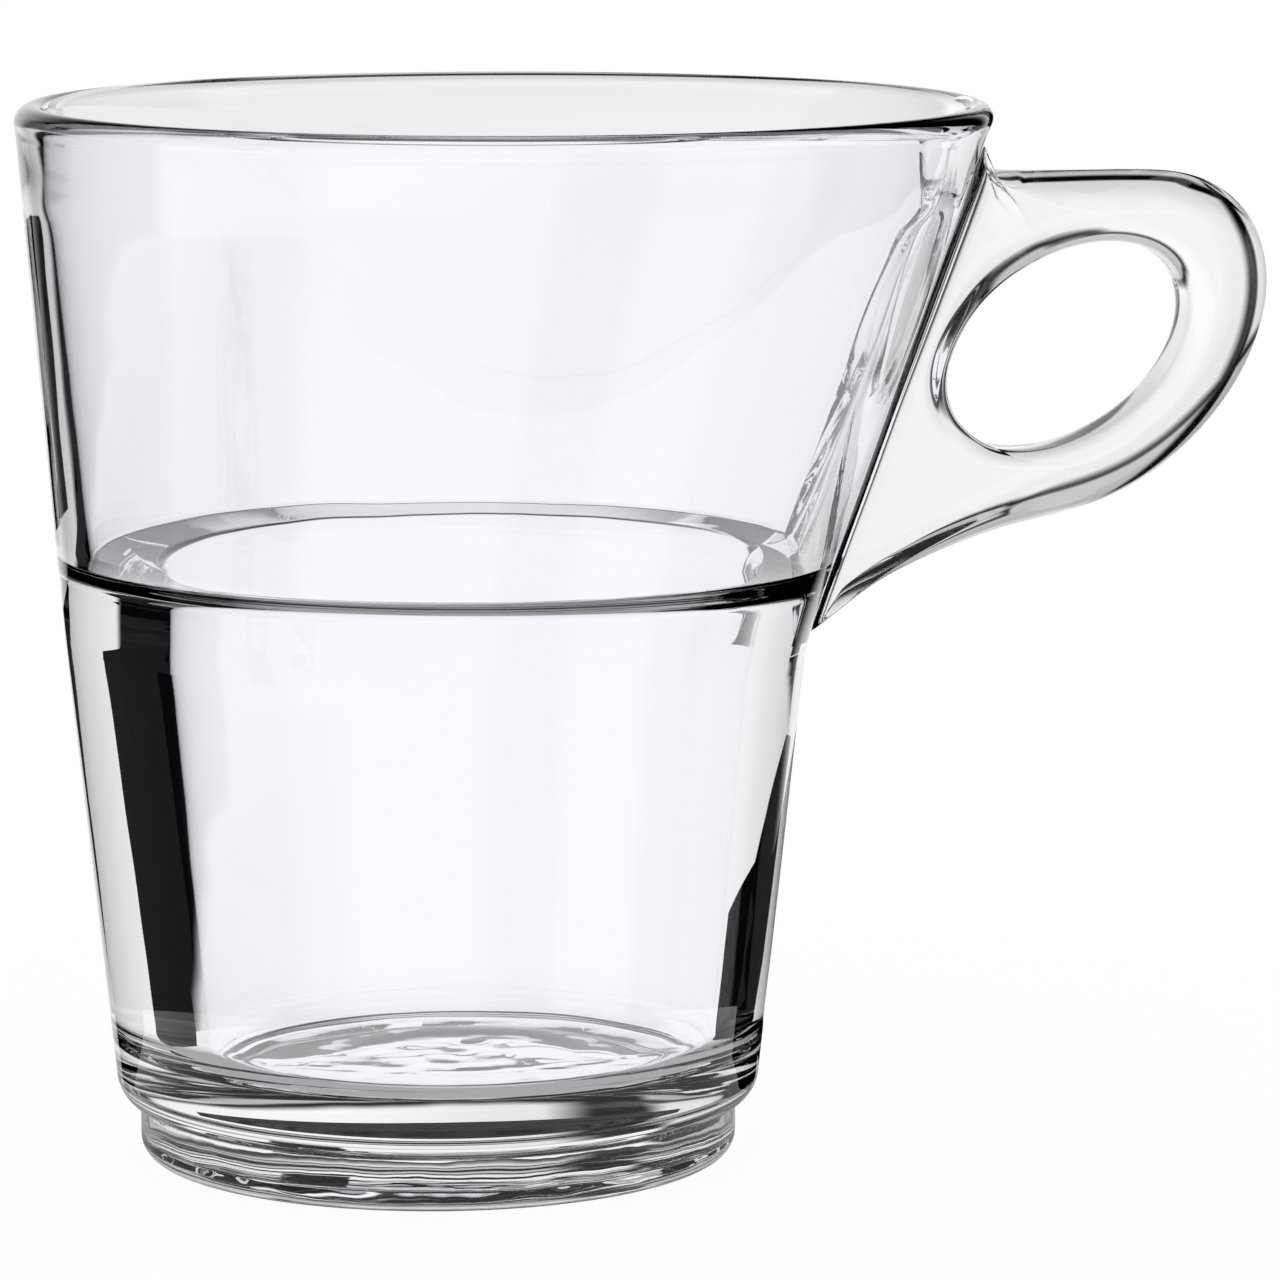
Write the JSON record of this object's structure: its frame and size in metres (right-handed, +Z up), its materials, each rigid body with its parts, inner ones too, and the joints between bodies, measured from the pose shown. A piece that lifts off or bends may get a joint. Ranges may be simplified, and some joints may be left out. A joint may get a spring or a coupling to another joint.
{
  "type": "cortado glass",
  "caption": "Clear pressed-glass coffee cup with a thick lower wall, an inner stacking ledge, an upper bowl that leans to one side and a flat loop handle.",
  "frame": {"origin": "centre of the foot's underside, on the table", "axes": "+Z up, +X from the foot's centre towards the handle"},
  "size_m": [0.0965, 0.0736, 0.08],
  "materials": {
    "clear_glass": "clear pressed glass, fire-polished"
  },
  "bodies": {
    "root": {"lower_cup": "clear_glass", "upper_bowl": "clear_glass", "handle": "clear_glass"}
  },
  "joints": []
}
